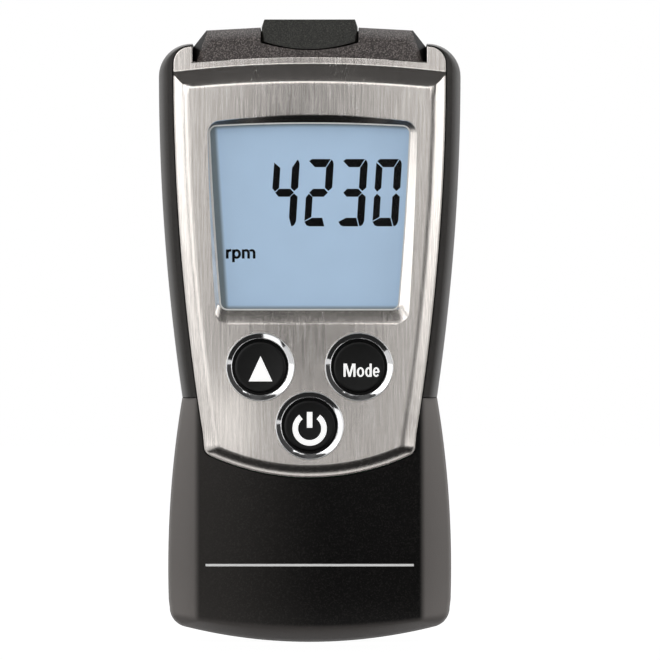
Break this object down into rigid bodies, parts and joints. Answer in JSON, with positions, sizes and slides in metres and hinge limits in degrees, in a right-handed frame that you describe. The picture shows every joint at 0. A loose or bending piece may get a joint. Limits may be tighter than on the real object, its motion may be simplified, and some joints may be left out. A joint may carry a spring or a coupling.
{
  "type": "laser tachometer",
  "caption": "Pocket non-contact optical tachometer with a waisted body, sunk display, ringed round keys, metal face and a sensor block on its top end",
  "frame": {"origin": "middle of the lowest point of the foot, centred in width and depth", "axes": "+Z from the foot to the sensor head along the body; the display faces -Y; the battery cover faces +Y; +X is to the right when the display is read"},
  "size_m": [0.046, 0.023, 0.0947],
  "materials": {
    "housing_plastic": "fine-grained moulded plastic, warm dark grey",
    "cover_plastic": "fine-grained moulded plastic, near black",
    "face_metal": "satin metal face, brushed along its height",
    "head_plastic": "speckled dark brown-grey moulded plastic",
    "shroud_plastic": "speckled dark grey-green moulded plastic",
    "filter_window": "clear dark red filter plastic, polished",
    "inner_black": "matt black moulded plastic",
    "clear_lens": "clear moulded lens, polished",
    "emitter_epoxy": "clear red epoxy",
    "receiver_epoxy": "dark filter epoxy",
    "circuit_board": "green solder mask",
    "gold_pins": "plated pins",
    "clear_window": "clear acrylic, polished",
    "foam_rubber": "closed foam",
    "display_glass": "pale blue-grey liquid crystal glass with its polarisers",
    "light_guide": "milky light guide",
    "white_plastic": "moulded off-white plastic",
    "strip_rubber": "layered silicone rubber",
    "chip_plastic": "matt black moulded package",
    "steel_can": "drawn steel can",
    "steel_screw": "zinc-plated steel",
    "mat_rubber": "moulded silicone rubber",
    "spring_steel": "plated spring steel",
    "key_plastic": "glossy black moulded key",
    "ring_chrome": "bright chrome plating",
    "cell_sleeve": "plain printed sleeve with no lettering",
    "contact_brass": "nickel-plated sheet contact"
  },
  "bodies": {
    "housing": {"rear_housing": "housing_plastic", "lower_front_cover": "cover_plastic", "front_plate": "face_metal", "sensor_head": "head_plastic", "sensor_shroud": "shroud_plastic", "sensor_window": "filter_window", "optics_holder": "inner_black", "emitter_lens": "clear_lens", "receiver_lens": "clear_lens", "emitter_diode": "emitter_epoxy", "receiver_diode": "receiver_epoxy", "sensor_board": "circuit_board", "sensor_pins": "gold_pins", "display_window": "clear_window", "display_gasket": "foam_rubber", "lcd_panel": "display_glass", "lcd_backlight": "light_guide", "lcd_frame": "white_plastic", "display_connector_strips": "strip_rubber", "main_board": "circuit_board", "controller_chip": "chip_plastic", "quartz_crystal": "steel_can", "board_screws": "steel_screw", "keypad_mat": "mat_rubber", "snap_domes": "spring_steel", "up_button_ring": "ring_chrome", "mode_button_ring": "ring_chrome", "power_button_ring": "ring_chrome", "battery_1": "cell_sleeve", "battery_2": "cell_sleeve", "battery_springs": "spring_steel", "battery_contacts": "contact_brass", "housing_screws": "steel_screw"},
    "up_key": {"up_button": "key_plastic"},
    "mode_key": {"mode_button": "key_plastic"},
    "power_key": {"power_button": "key_plastic"},
    "cover": {"battery_cover": "cover_plastic"}
  },
  "joints": [
    {"name": "up_press", "type": "slide", "parent": "housing", "child": "up_key", "axis": [0, 1, 0], "range_m": [0, 0.0006], "stiffness_N_per_m": 1500, "springref_m": -0.0002},
    {"name": "mode_press", "type": "slide", "parent": "housing", "child": "mode_key", "axis": [0, 1, 0], "range_m": [0, 0.0006], "stiffness_N_per_m": 1500, "springref_m": -0.0002},
    {"name": "power_press", "type": "slide", "parent": "housing", "child": "power_key", "axis": [0, 1, 0], "range_m": [0, 0.0006], "stiffness_N_per_m": 1500, "springref_m": -0.0002},
    {"name": "cover_slide", "type": "slide", "parent": "housing", "child": "cover", "axis": [0, 0, -1], "range_m": [0, 0.004]}
  ]
}
